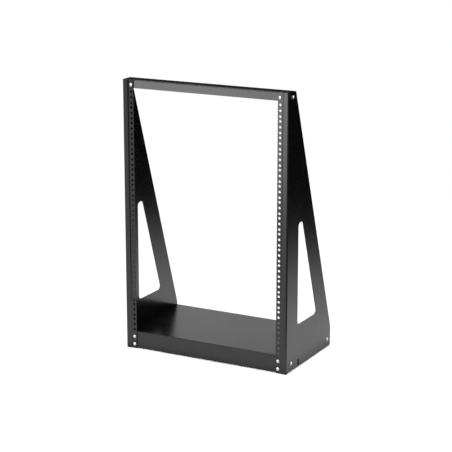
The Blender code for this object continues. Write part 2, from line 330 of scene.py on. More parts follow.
def settle(target: Solid, *tools: Solid) -> Mesh:
    """Apply an object's modifiers, then remove the object and the tools that shaped it.

    Args:
        target: The object with live modifiers.
        *tools: The shapes that its booleans use.

    Returns:
        The mesh with the modifiers applied.
    """
    bpy.context.view_layer.update()
    evaluated = target.evaluated_get(bpy.context.evaluated_depsgraph_get())
    mesh = bpy.data.meshes.new_from_object(evaluated)
    for spent in (target, *tools):
        bpy.data.objects.remove(spent, do_unlink=True)
    return mesh


def shade_smooth(mesh: Mesh) -> None:
    """Shade a mesh smooth apart from its sharp folds."""
    mesh.shade_smooth()
    mesh.set_sharp_from_angle(angle=SHARP_ANGLE)


def turned(name: str, profile: list[tuple[float, float]], facets: int) -> Solid:
    """Turn a closed solid on the Z axis.

    Args:
        name: The solid's name.
        profile: Points as (radius, z), from the axis back to the axis.
        facets: Facets round the axis.

    Returns:
        The solid.
    """
    bm = bmesh.new()
    verts = [bm.verts.new((radius, 0.0, z)) for radius, z in profile]
    edges = [bm.edges.new(pair) for pair in zip(verts, verts[1:])]
    bmesh.ops.spin(bm, geom=verts + edges, cent=(0, 0, 0), axis=(0, 0, 1), dvec=(0, 0, 0),
                   angle=FULL_TURN, steps=facets, use_merge=True, use_duplicate=False)
    bmesh.ops.remove_doubles(bm, verts=bm.verts, dist=MERGE_DISTANCE)
    bmesh.ops.recalc_face_normals(bm, faces=bm.faces)
    return mesh_object(name, bm)


def show_piece(name: str, mesh: Mesh, material: Material, node: str) -> None:
    """Show a finished piece in the place of the solid that it stands for.

    Args:
        name: The piece's name.
        mesh: Its mesh, with its place in it.
        material: Its finish.
        node: The solid's node.
    """
    mesh.name = name
    mesh.materials.clear()
    mesh.materials.append(material)
    piece = link_object(name, mesh)
    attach(piece, BODY)
    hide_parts(node)
    LOG.info("%s: %d faces", name, len(mesh.polygons))


@dataclass(frozen=True)
class FootSlot:
    """The upright slot near the front foot of each side panel."""

    width: float = 8.0 * MM
    height: float = 17.0 * MM
    behind_rail: float = 75.0 * MM
    middle: float = 15.0 * MM
    corner: float = 1.5 * MM

    def corners(self, rail_face: float, margin: float = 0.0,
                open_below: bool = False) -> list[tuple[float, float]]:
        """Sharp corners of the slot.

        Args:
            rail_face: Y of the rails' front face.
            margin: How much wider the slot is to each side.
            open_below: Whether it runs on down to the floor.

        Returns:
            The corners as (y, z).
        """
        half = self.width / 2 + margin
        front, rear = rail_face + self.behind_rail - half, rail_face + self.behind_rail + half
        low = 0.0 if open_below else self.middle - self.height / 2 - margin
        high = self.middle + self.height / 2 + margin
        return [(front, low), (front, high), (rear, high), (rear, low)]


@dataclass(frozen=True)
class SheetSteel:
    """The sheet that the rack is folded from, and how finely its forms are drawn."""

    thickness: float = 2.0 * MM
    bend_radius: float = 2.0 * MM
    joggle_radius: float = 2.0 * MM
    lid_bend_radius: float = 1.0 * MM
    edge_round: float = 0.35 * MM
    bend_steps: int = 12
    joggle_steps: int = 8
    hole_facets: int = 40

    def outer(self, radius: float) -> float:
        """Radius of a bend on its outer face, from its inside radius."""
        return radius + self.thickness

    def middle(self, radius: float) -> float:
        """Radius of a bend in the middle of the sheet, from its inside radius."""
        return radius + self.thickness / 2


class Flange:
    """A flange that grows from one edge of a sheet by flats and bends, as on a press brake."""

    def __init__(self, bm: BMesh, edge: BMEdge, ahead: Vector, inwards: Vector) -> None:
        """Start at an edge of the sheet.

        Args:
            bm: The sheet.
            edge: The edge to grow from.
            ahead: The direction that the flange grows in at first.
            inwards: The side that a positive bend turns to.
        """
        self.bm = bm
        self.edge = edge
        self.ahead = ahead.copy()
        self.inwards = inwards.copy()

    def flat(self, length: float) -> None:
        """Grow straight on.

        Args:
            length: How far the flange grows.
        """
        made = bmesh.ops.extrude_edge_only(self.bm, edges=[self.edge])["geom"]
        new_verts = set(only(BMVert, made))
        self.edge = next(edge for edge in only(BMEdge, made) if new_verts.issuperset(edge.verts))
        bmesh.ops.translate(self.bm, verts=list(new_verts), vec=self.ahead * length)

    def bend(self, angle: float, radius: float, steps: int) -> None:
        """Turn by an angle.

        Args:
            angle: The angle of the bend, positive towards the inner side.
            radius: Radius in the middle of the sheet.
            steps: Facets along the bend.
        """
        axis = self.ahead.cross(self.inwards)
        centre = self.edge.verts[0].co + self.inwards * math.copysign(radius, angle)
        made = bmesh.ops.spin(self.bm, geom=[self.edge, *self.edge.verts], cent=centre, axis=axis,
                              dvec=(0, 0, 0), angle=angle, steps=steps, use_merge=False,
                              use_normal_flip=False, use_duplicate=False)["geom_last"]
        self.edge = only(BMEdge, made)[0]
        turn = Matrix.Rotation(angle, 3, axis)
        self.ahead.rotate(turn)
        self.inwards.rotate(turn)


def round_corners(face: BMFace, bm: BMesh, radii: dict[int, float], steps: int) -> BMFace:
    """Round some corners of a lone flat face with arcs.

    Args:
        face: The face.
        bm: The bmesh that holds it.
        radii: Radius by the corner's number in the face.
        steps: Facets round a corner.

    Returns:
        The face with its rounded corners.
    """
    cuts = []
    loops = list(face.loops)
    for number, radius in radii.items():
        loop = loops[number]
        corner = loop.vert
        back = loop.link_loop_prev.vert.co - corner.co
        ahead = loop.link_loop_next.vert.co - corner.co
        cuts.append((corner, radius / math.tan(back.angle(ahead) / 2)))
    for corner, offset in cuts:
        made = bmesh.ops.bevel(bm, geom=[corner], offset=offset, offset_type="OFFSET",
                               affect="VERTICES", segments=steps, profile=0.5, material=-1)
        face = made["verts"][0].link_faces[0]
    return face


class Punch:
    """Closed cutters that open the holes of one folded sheet."""

    def __init__(self, name: str, facets: int) -> None:
        """Start without cutters.

        Args:
            name: The tool's name.
            facets: Facets round a drilled hole.
        """
        self.name = name
        self.facets = facets
        self.bm = bmesh.new()

    def drill(self, centre: Vector, along: Vector, diameter: float, reach: float) -> None:
        """Add a round hole.

        Args:
            centre: The middle of the hole, in the middle of the metal.
            along: Unit vector along the hole.
            diameter: Its diameter.
            reach: How far the drill goes to either side of the centre.
        """
        turn = along.to_track_quat("Z", "Y").to_matrix().to_4x4()
        bmesh.ops.create_cone(self.bm, cap_ends=True, segments=self.facets, radius1=diameter / 2,
                              radius2=diameter / 2, depth=2 * reach,
                              matrix=Matrix.Translation(centre) @ turn)

    def window(self, corners: list[tuple[float, float]], radius: float, steps: int,
               start: float, end: float) -> None:
        """Add an opening with rounded corners through an upright side wall.

        Args:
            corners: Its sharp corners as (y, z).
            radius: Radius of the corners.
            steps: Facets round a corner.
            start: X where the cutter starts.
            end: X where it ends.
        """
        face = self.bm.faces.new([self.bm.verts.new((start, y, z)) for y, z in corners])
        face = round_corners(face, self.bm, dict.fromkeys(range(len(corners)), radius), steps)
        made = bmesh.ops.extrude_face_region(self.bm, geom=[face])["geom"]
        bmesh.ops.translate(self.bm, verts=only(BMVert, made), vec=(end - start, 0, 0))

    def tool(self) -> Solid:
        """Turn the cutters into one object."""
        bmesh.ops.recalc_face_normals(self.bm, faces=self.bm.faces)
        return mesh_object(self.name, self.bm)


def folded_sheet(bm: BMesh, name: str, steel: SheetSteel, punch: Punch) -> Mesh:
    """Give a folded surface its thickness, holes and rounded edges.

    Args:
        bm: The middle surface of the sheet.
        name: The sheet's name.
        steel: The sheet metal.
        punch: The cutters of its holes.

    Returns:
        The finished mesh.
    """
    bmesh.ops.recalc_face_normals(bm, faces=bm.faces)
    sheet = mesh_object(name, bm)
    shade_smooth(sheet.data)
    wall = sheet.modifiers.new("thickness", "SOLIDIFY")
    wall.thickness = steel.thickness
    wall.offset = 0.0
    wall.use_even_offset = True
    tool = punch.tool()
    shade_smooth(tool.data)
    add_boolean(sheet, tool, "DIFFERENCE")
    round_edges(sheet, steel.edge_round)
    return settle(sheet, tool)


@dataclass
class Rack:
    """Sizes that several pieces share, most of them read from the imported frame."""

    steel: SheetSteel
    slot: FootSlot = FootSlot()
    joggle_step: float = 2.3 * MM
    gap: float = 0.3 * MM
    screw_clearance: float = 5.6 * MM
    drill_reach: float = 6.0 * MM
    half_opening: float = field(init=False)
    half_width: float = field(init=False)
    half_spacing: float = field(init=False)
    strip_face: float = field(init=False)
    rear_edge: float = field(init=False)
    height: float = field(init=False)

    def __post_init__(self) -> None:
        """Read the right side panel's box and the place of one of its screws."""
        low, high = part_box("right_side_panel")
        self.half_opening = low.x
        self.half_width = high.x
        self.strip_face = low.y
        self.rear_edge = high.y
        self.height = high.z
        self.half_spacing = self.middle("screw_front_top_right").x

    @staticmethod
    def middle(node: str) -> Vector:
        """The middle of a node's box."""
        low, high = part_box(node)
        return (low + high) / 2

    @property
    def rail_face(self) -> float:
        """Y of the rails' front face."""
        return self.strip_face + self.joggle_step

    def drill_for_screws(self, punch: Punch, places: list[ScrewPlace], sides: list[Side]) -> None:
        """Add the clearance holes of some screws, through all the sheets that they join.

        Args:
            punch: The cutters of the sheet's holes.
            places: The screws.
            sides: The sides of the rack.
        """
        for side in sides:
            for place in places:
                centre = self.middle(place.node("screw", side))
                if place.in_front:
                    centre.y = self.rail_face + self.steel.thickness
                else:
                    centre.x = side.value * (self.half_width - self.steel.thickness)
                punch.drill(centre, place.outwards(side), self.screw_clearance,
                            self.drill_reach)


@dataclass
class SidePanel:
    """A side panel folded from one sheet: tapered wall, front strip, rail and foot flange."""

    rack: Rack
    side: Side
    rack_unit: float = 44.45 * MM
    units: int = 16
    holes_in_unit: tuple[float, ...] = (6.35 * MM, 22.225 * MM, 38.1 * MM)
    pattern_base: float = 51.0 * MM
    hole_diameter: float = 7.1 * MM
    ear_margin: float = 9.4 * MM
    joggle_slant: float = math.radians(46)
    top_depth: float = 45.2 * MM
    top_corner: float = 3.0 * MM
    knee_height: float = 58.8 * MM
    knee_radius: float = 60.0 * MM
    foot_width: float = 25.0 * MM
    foot_setback: float = 6.0 * MM
    relief_width: float = 1.2 * MM
    relief_height: float = 2.0 * MM
    window_front: float = 70.1 * MM
    window_rear: float = 70.6 * MM
    window_bottom: float = 126.0 * MM
    window_top_width: float = 26.8 * MM
    window_radius: float = 12.0 * MM
    corner_steps: int = 12

    @property
    def top_rear(self) -> float:
        """Y of the rear edge at the top."""
        return self.rack.strip_face + self.top_depth

    @property
    def slope(self) -> float:
        """Depth that the slanted rear edge gains for each metre down."""
        return (self.rack.rear_edge - self.top_rear) / (self.rack.height - self.knee_height)

    def wall(self, bm: BMesh) -> list[BMVert]:
        """Lay out the flat wall.

        Args:
            bm: The bmesh that takes it.

        Returns:
            The corners of the wall, of which those at the top rear and the knee are rounded off.
        """
        rack, steel = self.rack, self.rack.steel
        bend = steel.outer(steel.bend_radius)
        fold = rack.strip_face + bend
        foot = fold + self.foot_setback
        relief = bend + self.relief_height
        corners = [(fold, 0.0), (fold, rack.height), (self.top_rear, rack.height),
                   (rack.rear_edge, self.knee_height), (rack.rear_edge, bend), (foot, bend),
                   (foot, relief), (foot - self.relief_width, relief),
                   (foot - self.relief_width, 0.0)]
        wall_x = self.side.value * (rack.half_width - steel.thickness / 2)
        verts = [bm.verts.new((wall_x, y, z)) for y, z in corners]
        face = bm.faces.new(verts)
        round_corners(face, bm, {2: self.top_corner, 3: self.knee_radius}, self.corner_steps)
        return verts

    def fold_front(self, bm: BMesh, edge: BMEdge) -> None:
        """Fold the strip and, a step behind it, the rail with the mounting holes.

        Args:
            bm: The sheet.
            edge: The wall's front edge.
        """
        rack, steel = self.rack, self.rack.steel
        radius, slant = steel.middle(steel.joggle_radius), self.joggle_slant
        rise = radius * (1 - math.cos(slant))
        ramp = (rack.joggle_step - 2 * rise) / math.sin(slant)
        half_joggle = radius * math.sin(slant) + ramp * math.cos(slant) / 2
        joggle_x = rack.half_spacing + self.ear_margin
        flange = Flange(bm, edge, Vector((0, -1, 0)), Vector((-self.side.value, 0, 0)))
        flange.bend(QUARTER_TURN, steel.middle(steel.bend_radius), steel.bend_steps)
        flange.flat(rack.half_width - steel.outer(steel.bend_radius) - joggle_x - half_joggle)
        flange.bend(slant, radius, steel.joggle_steps)
        flange.flat(ramp)
        flange.bend(-slant, radius, steel.joggle_steps)
        flange.flat(joggle_x - half_joggle - rack.half_opening)

    def fold_foot(self, bm: BMesh, edge: BMEdge) -> None:
        """Fold the foot flange that the rack stands on.

        Args:
            bm: The sheet.
            edge: The wall's lower edge.
        """
        steel = self.rack.steel
        flange = Flange(bm, edge, Vector((0, 0, -1)), Vector((-self.side.value, 0, 0)))
        flange.bend(QUARTER_TURN, steel.middle(steel.bend_radius), steel.bend_steps)
        flange.flat(self.foot_width - steel.outer(steel.bend_radius))

    def window_corners(self) -> list[tuple[float, float]]:
        """Sharp corners of the window, whose rear edge runs along the slanted edge.

        Returns:
            The corners as (y, z).
        """
        rack = self.rack
        front = rack.strip_face + self.window_front
        rear = front + self.window_top_width
        inset = self.window_rear * math.hypot(1, self.slope)
        top = rack.height - (rear + inset - self.top_rear) / self.slope
        low_rear = self.top_rear + (rack.height - self.window_bottom) * self.slope - inset
        return [(front, self.window_bottom), (front, top), (rear, top),
                (low_rear, self.window_bottom)]

    def punch(self) -> Punch:
        """Set the cutters of the window, the slot and all holes.

        Returns:
            The cutters.
        """
        rack, steel, sign = self.rack, self.rack.steel, self.side.value
        punch = Punch(f"{self.side.word} panel punch", steel.hole_facets)
        start = sign * (rack.half_width - 2 * steel.thickness)
        end = sign * (rack.half_width + steel.thickness)
        punch.window(self.window_corners(), self.window_radius, self.corner_steps, start, end)
        punch.window(rack.slot.corners(rack.rail_face), rack.slot.corner, self.corner_steps // 2,
                     sign * (rack.half_width - steel.thickness - rack.gap / 2), end)
        rail_middle = rack.rail_face + steel.thickness / 2
        for unit in range(self.units):
            for offset in self.holes_in_unit:
                height = self.pattern_base + unit * self.rack_unit + offset
                punch.drill(Vector((sign * rack.half_spacing, rail_middle, height)),
                            Vector((0, -1, 0)), self.hole_diameter, steel.thickness)
        rack.drill_for_screws(punch, list(ScrewPlace), [self.side])
        return punch

    def build(self) -> Mesh:
        """Fold, punch and finish the panel.

        Returns:
            The panel's mesh.
        """
        bm = bmesh.new()
        corners = self.wall(bm)
        front = bm.edges.get(corners[:2])
        foot = bm.edges.get(corners[4:6])
        self.fold_front(bm, front)
        self.fold_foot(bm, foot)
        return folded_sheet(bm, f"{self.side.word} panel", self.rack.steel, self.punch())

    def dress(self, coat: Material) -> None:
        """Build the panel and show it in its coat."""
        node = f"{self.side.word}_side_panel"
        show_piece(f"coated_{node}", self.build(), coat, node)


@dataclass
class FoldedLid:
    """A lid folded from one sheet: a flat plate with a flange down along each side."""

    rack: Rack
    node: str
    places: tuple[ScrewPlace, ...]
    low: Vector = field(init=False)
    high: Vector = field(init=False)

    def __post_init__(self) -> None:
        """Read the lid's box from the frame."""
        self.low, self.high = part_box(self.node)

    def flange_bottom(self, ahead: Vector) -> float:
        """Z of the lower edge of the flange on a side."""
        return self.low.z

    def build(self) -> Mesh:
        """Fold, punch and finish the lid.

        Returns:
            The lid's mesh.
        """
        steel = self.rack.steel
        bend = steel.outer(steel.lid_bend_radius)
        halves = [(high - low) / 2 - bend for low, high in zip(self.low.xy, self.high.xy)]
        middle = (self.low + self.high) / 2
        middle.z = self.high.z - steel.thickness / 2
        bm = bmesh.new()
        plate = Matrix.Translation(middle) @ Matrix.Diagonal((*halves, 1, 1))
        bmesh.ops.create_grid(bm, x_segments=1, y_segments=1, size=1, matrix=plate)
        for edge in list(bm.edges):
            ahead = ((edge.verts[0].co + edge.verts[1].co) / 2 - middle).normalized()
            flange = Flange(bm, edge, ahead, Vector((0, 0, -1)))
            flange.bend(QUARTER_TURN, steel.middle(steel.lid_bend_radius), steel.bend_steps)
            flange.flat(self.high.z - bend - self.flange_bottom(ahead))
        return folded_sheet(bm, self.node, steel, self.punch())

    def punch(self) -> Punch:
        """Set the cutters of the screw holes.

        Returns:
            The cutters.
        """
        punch = Punch(f"{self.node} punch", self.rack.steel.hole_facets)
        self.rack.drill_for_screws(punch, list(self.places), list(Side))
        return punch

    def dress(self, coat: Material) -> None:
        """Build the lid and show it in its coat."""
        show_piece(f"coated_{self.node}", self.build(), coat, self.node)


@dataclass
class BaseTray(FoldedLid):
    """The shelf between the side panels, whose side flanges end above the foot bends."""

    notch_margin: float = 1.5 * MM
    notch_steps: int = 6

    def flange_bottom(self, ahead: Vector) -> float:
        """Z of the lower edge of the flange on a side."""
        if abs(ahead.y) > abs(ahead.x):
            return self.low.z
        steel = self.rack.steel
        return steel.outer(steel.bend_radius) + self.rack.gap

    def punch(self) -> Punch:
        """Set the cutters of the screw holes and of the notches behind the panels' slots.

        Returns:
            The cutters.
        """
        punch = super().punch()
        rack, slot = self.rack, self.rack.slot
        corners = slot.corners(rack.rail_face, self.notch_margin, open_below=True)
        for side in Side:
            punch.window(corners, slot.corner, self.notch_steps,
                         side.value * (self.high.x - 2 * rack.steel.thickness),
                         side.value * (self.high.x + rack.gap / 2))
        return punch


@dataclass
class PanHeadScrew:
    """M5 pan head machine screw with a cross recess and a rolled thread, along +Z from its seat.

    The thread's depth is a share of its pitch. So are the places along one turn where the root,
    the rising flank, the crest and the falling flank begin.
    """

    diameter: float = 5.0 * MM
    pitch: float = 0.8 * MM
    length: float = 10.0 * MM
    tip_chamfer: float = 0.6 * MM
    head_diameter: float = 9.5 * MM
    head_height: float = 3.2 * MM
    rim_height: float = 1.1 * MM
    head_round: float = 0.175 * MM
    seat_gap: float = 0.25 * MM
    recess_width: float = 4.6 * MM
    recess_wing: float = 1.15 * MM
    recess_depth: float = 1.9 * MM
    recess_taper: float = 0.5
    thread_depth: float = 0.6134
    thread_starts: tuple[float, ...] = (0.0, 0.25, 0.5625, 0.6875)
    spare_turns: int = 2
    crown_steps: int = 8
    head_facets: int = 48
    thread_facets: int = 32

    def head(self) -> Solid:
        """Turn the pan head.

        Returns:
            The head as a closed solid, without its recess.
        """
        half = self.head_diameter / 2
        crown = self.head_height - self.rim_height
        radius = (half * half + crown * crown) / (2 * crown)
        sweep = math.asin(half / radius)
        profile = [(0.0, -self.seat_gap), (half, -self.seat_gap)]
        for step in range(self.crown_steps + 1):
            angle = sweep * (1 - step / self.crown_steps)
            profile.append((radius * math.sin(angle),
                            self.head_height - radius * (1 - math.cos(angle))))
        return turned("pan head", profile, self.head_facets)

    def recess(self) -> Solid:
        """Shape the cross recess, whose wings narrow towards the bottom.

        Returns:
            The cutter that leaves the recess.
        """
        bm = bmesh.new()
        half, wing = self.recess_width / 2, self.recess_wing / 2
        bmesh.ops.create_grid(bm, x_segments=3, y_segments=3, size=half)
        for vert in bm.verts:
            for axis in (0, 1):
                if abs(vert.co[axis]) < half / 2:    # on one of the grid's inner lines
                    vert.co[axis] = math.copysign(wing, vert.co[axis])
        corners = [face for face in bm.faces
                   if min(abs(part) for part in face.calc_center_median().xy) > wing]
        bmesh.ops.delete(bm, geom=corners, context="FACES")
        made = bmesh.ops.extrude_face_region(bm, geom=list(bm.faces))["geom"]
        bmesh.ops.scale(bm, verts=only(BMVert, made), vec=(self.recess_taper, self.recess_taper, 1))
        bmesh.ops.translate(bm, verts=only(BMVert, made), vec=(0, 0, -self.recess_depth))
        bmesh.ops.translate(bm, verts=bm.verts, vec=(0, 0, self.head_height))
        bmesh.ops.recalc_face_normals(bm, faces=bm.faces)
        return mesh_object("cross recess", bm)

    def thread(self) -> Solid:
        """Roll the threaded shank, from its chamfered tip to just inside the head.

        Returns:
            The shank as a closed solid.
        """
        crest = self.diameter / 2
        root = crest - self.thread_depth * self.pitch
        ridge = tuple(zip((root, root, crest, crest), self.thread_starts))
        top, spare = self.rim_height / 2, self.spare_turns * self.pitch
        turns = math.ceil((self.length + top) / self.pitch) + self.spare_turns
        bm = bmesh.new()
        verts = [bm.verts.new((radius, 0.0, (turn + part) * self.pitch - self.length - spare))
                 for turn in range(turns) for radius, part in ridge]
        edges = [bm.edges.new(pair) for pair in zip(verts, verts[1:])]
        bmesh.ops.spin(bm, geom=verts + edges, cent=(0, 0, 0), axis=(0, 0, 1),
                       dvec=(0, 0, self.pitch / self.thread_facets), angle=FULL_TURN,
                       steps=self.thread_facets, use_merge=False, use_duplicate=False)
        bmesh.ops.remove_doubles(bm, verts=bm.verts, dist=MERGE_DISTANCE)
        for level, up in ((-self.length, -1), (top, 1)):
            bmesh.ops.bisect_plane(bm, geom=[*bm.verts, *bm.edges, *bm.faces], dist=MERGE_DISTANCE,
                                   plane_co=(0, 0, level), plane_no=(0, 0, up), clear_outer=True)
        rims = [edge for edge in bm.edges if edge.is_boundary]
        bmesh.ops.holes_fill(bm, edges=rims, sides=0)
        for vert in bm.verts:
            allowed = crest - self.tip_chamfer + (vert.co.z + self.length)
            radius = vert.co.xy.length
            if radius > allowed:
                vert.co.xy *= allowed / radius
        bmesh.ops.recalc_face_normals(bm, faces=bm.faces)
        return mesh_object("rolled thread", bm)

    def build(self) -> Mesh:
        """Join the head and the shank and cut the recess.

        Returns:
            The screw's mesh.
        """
        head, recess = self.head(), self.recess()
        shade_smooth(head.data)
        add_boolean(head, recess, "DIFFERENCE")
        round_edges(head, self.head_round)
        finished = link_object("finished head", settle(head, recess))
        thread = self.thread()
        shade_smooth(thread.data)
        add_boolean(finished, thread, "UNION")
        return settle(finished, thread)


@dataclass
class HexNut:
    """M5 hex nut with chamfered corners and a countersunk bore, standing on z = 0."""

    across_flats: float = 8.0 * MM
    height: float = 4.0 * MM
    bore: float = 5.1 * MM
    countersink: float = 5.7 * MM
    face_share: float = 0.95
    corner_angle: float = math.radians(30)
    sides: int = 6
    facets: int = 48
    edge_round: float = 0.08 * MM

    def build(self) -> Mesh:
        """Shape the hexagon, chamfer its corners and bore it.

        Returns:
            The nut's mesh.
        """
        half, flat = self.height / 2, self.across_flats / 2
        corner = flat / math.cos(math.pi / self.sides)
        bm = bmesh.new()
        bmesh.ops.create_cone(bm, cap_ends=True, segments=self.sides, radius1=corner,
                              radius2=corner, depth=self.height)
        nut = mesh_object("hexagon", bm)
        face, wide = flat * self.face_share, corner + self.edge_round
        drop = (wide - face) * math.tan(self.corner_angle)
        blank = turned("chamfer", [(0, -half), (face, -half), (wide, -half + drop),
                                   (wide, half - drop), (face, half), (0, half)], self.facets)
        bore, sink = self.bore / 2, self.countersink / 2
        over = self.edge_round
        drill = turned("bore", [(0, -half - over), (sink + over, -half - over),
                                (bore, -half + sink - bore), (bore, half - sink + bore),
                                (sink + over, half + over), (0, half + over)], self.facets)
        shade_smooth(blank.data)
        shade_smooth(drill.data)
        add_boolean(nut, blank, "INTERSECT")
        add_boolean(nut, drill, "DIFFERENCE")
        round_edges(nut, self.edge_round)
        mesh = settle(nut, blank, drill)
        mesh.transform(Matrix.Translation((0, 0, half)))
        return mesh


@dataclass
class Fasteners:
    """Every screw with its nut, each copied to the place of its node."""

    rack: Rack
    screw: PanHeadScrew
    nut: HexNut

    def dress(self, zinc: Material) -> None:
        """Build one screw and one nut and show a copy at every place.

        Args:
            zinc: The finish.
        """
        screw_mesh, nut_mesh = self.screw.build(), self.nut.build()
        for side in Side:
            for place in ScrewPlace:
                outwards = place.outwards(side)
                turn = outwards.to_track_quat("Z", "Y").to_matrix().to_4x4()
                self.show(place.node("screw", side), screw_mesh, turn, outwards,
                          -self.screw.length, zinc)
                self.show(place.node("nut", side), nut_mesh, turn, outwards, 0.0, zinc)
        bpy.data.meshes.remove(screw_mesh)
        bpy.data.meshes.remove(nut_mesh)

    @staticmethod
    def show(node: str, mesh: Mesh, turn: Matrix, outwards: Vector, inner_end: float,
             zinc: Material) -> None:
        """Show a copy of a mesh with its inner end where its node's inner end is.

        Args:
            node: The node's name.
            mesh: The mesh along +Z.
            turn: Rotation from +Z to outwards.
            outwards: Unit vector out of the rack.
            inner_end: Z of the mesh's inner end.
            zinc: The finish.
        """
        low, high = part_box(node)
        place = (low + high) / 2
        half_depth = abs((high - low).dot(outwards)) / 2
        place -= outwards * (half_depth + inner_end)
        copy = mesh.copy()
        copy.transform(Matrix.Translation(place) @ turn)
        show_piece(f"zinc_{node}", copy, zinc, node)


@dataclass(frozen=True)
class Fade:
    """A smooth change in brightness from a first to a last level, between a start and an end."""

    start: float
    end: float
    first: float
    last: float
    direction: tuple[float, float, float] | None = None

    def level(self, tree: Tree, along: Socket, first: Socket | None = None) -> Socket:
        """Work out the level.

        Args:
            tree: The node tree.
            along: Where a place is between the start and the end.
            first: The first level, where it isn't the same everywhere.

        Returns:
            The level at that place.
        """
        links = {"Value": along} if first is None else {"Value": along, "To Min": first}
        return add_node(tree, "ShaderNodeMapRange",
                        {"interpolation_type": "SMOOTHSTEP", "From Min": self.start,
                         "From Max": self.end, "To Min": self.first, "To Max": self.last},
                        links).outputs["Result"]


@dataclass(frozen=True)
class Softbox:
    """A rectangular lamp that the camera doesn't see and whose light misses some coated nodes.

    Its radiance is how bright its face is, where 1 shows as white.
    """

    name: str
    place: tuple[float, float, float]
    aim: tuple[float, float, float]
    size: tuple[float, float]
    radiance: float
    misses: tuple[str, ...] = ()

    def hang(self) -> None:
        """Hang the lamp in its place, facing its aim."""
        width, height = self.size
        data = bpy.data.lights.new(self.name, "AREA")
        data.shape = "RECTANGLE"
        data.size, data.size_y = width, height
        data.energy = self.radiance * math.pi * width * height
        lamp = bpy.data.objects.new(self.name, data)
        bpy.context.scene.collection.objects.link(lamp)
        lamp.visible_camera = False
        lamp.location = self.place
        facing = Vector(self.aim) - Vector(self.place)
        lamp.rotation_euler = facing.to_track_quat("-Z", "Y").to_euler()
        if self.misses:
            self.shield(lamp)

    def shield(self, lamp: bpy.types.Object) -> None:
        """Keep the lamp's light off the coated pieces that it misses.

        Args:
            lamp: The lamp.
        """
        shielded = bpy.data.collections.new(f"out of the {self.name}")
        for node in self.misses:
            shielded.objects.link(bpy.data.objects[f"coated_{node}"])
        for entry in shielded.collection_objects:
            entry.light_linking.link_state = "EXCLUDE"
        lamp.light_linking.receiver_collection = shielded


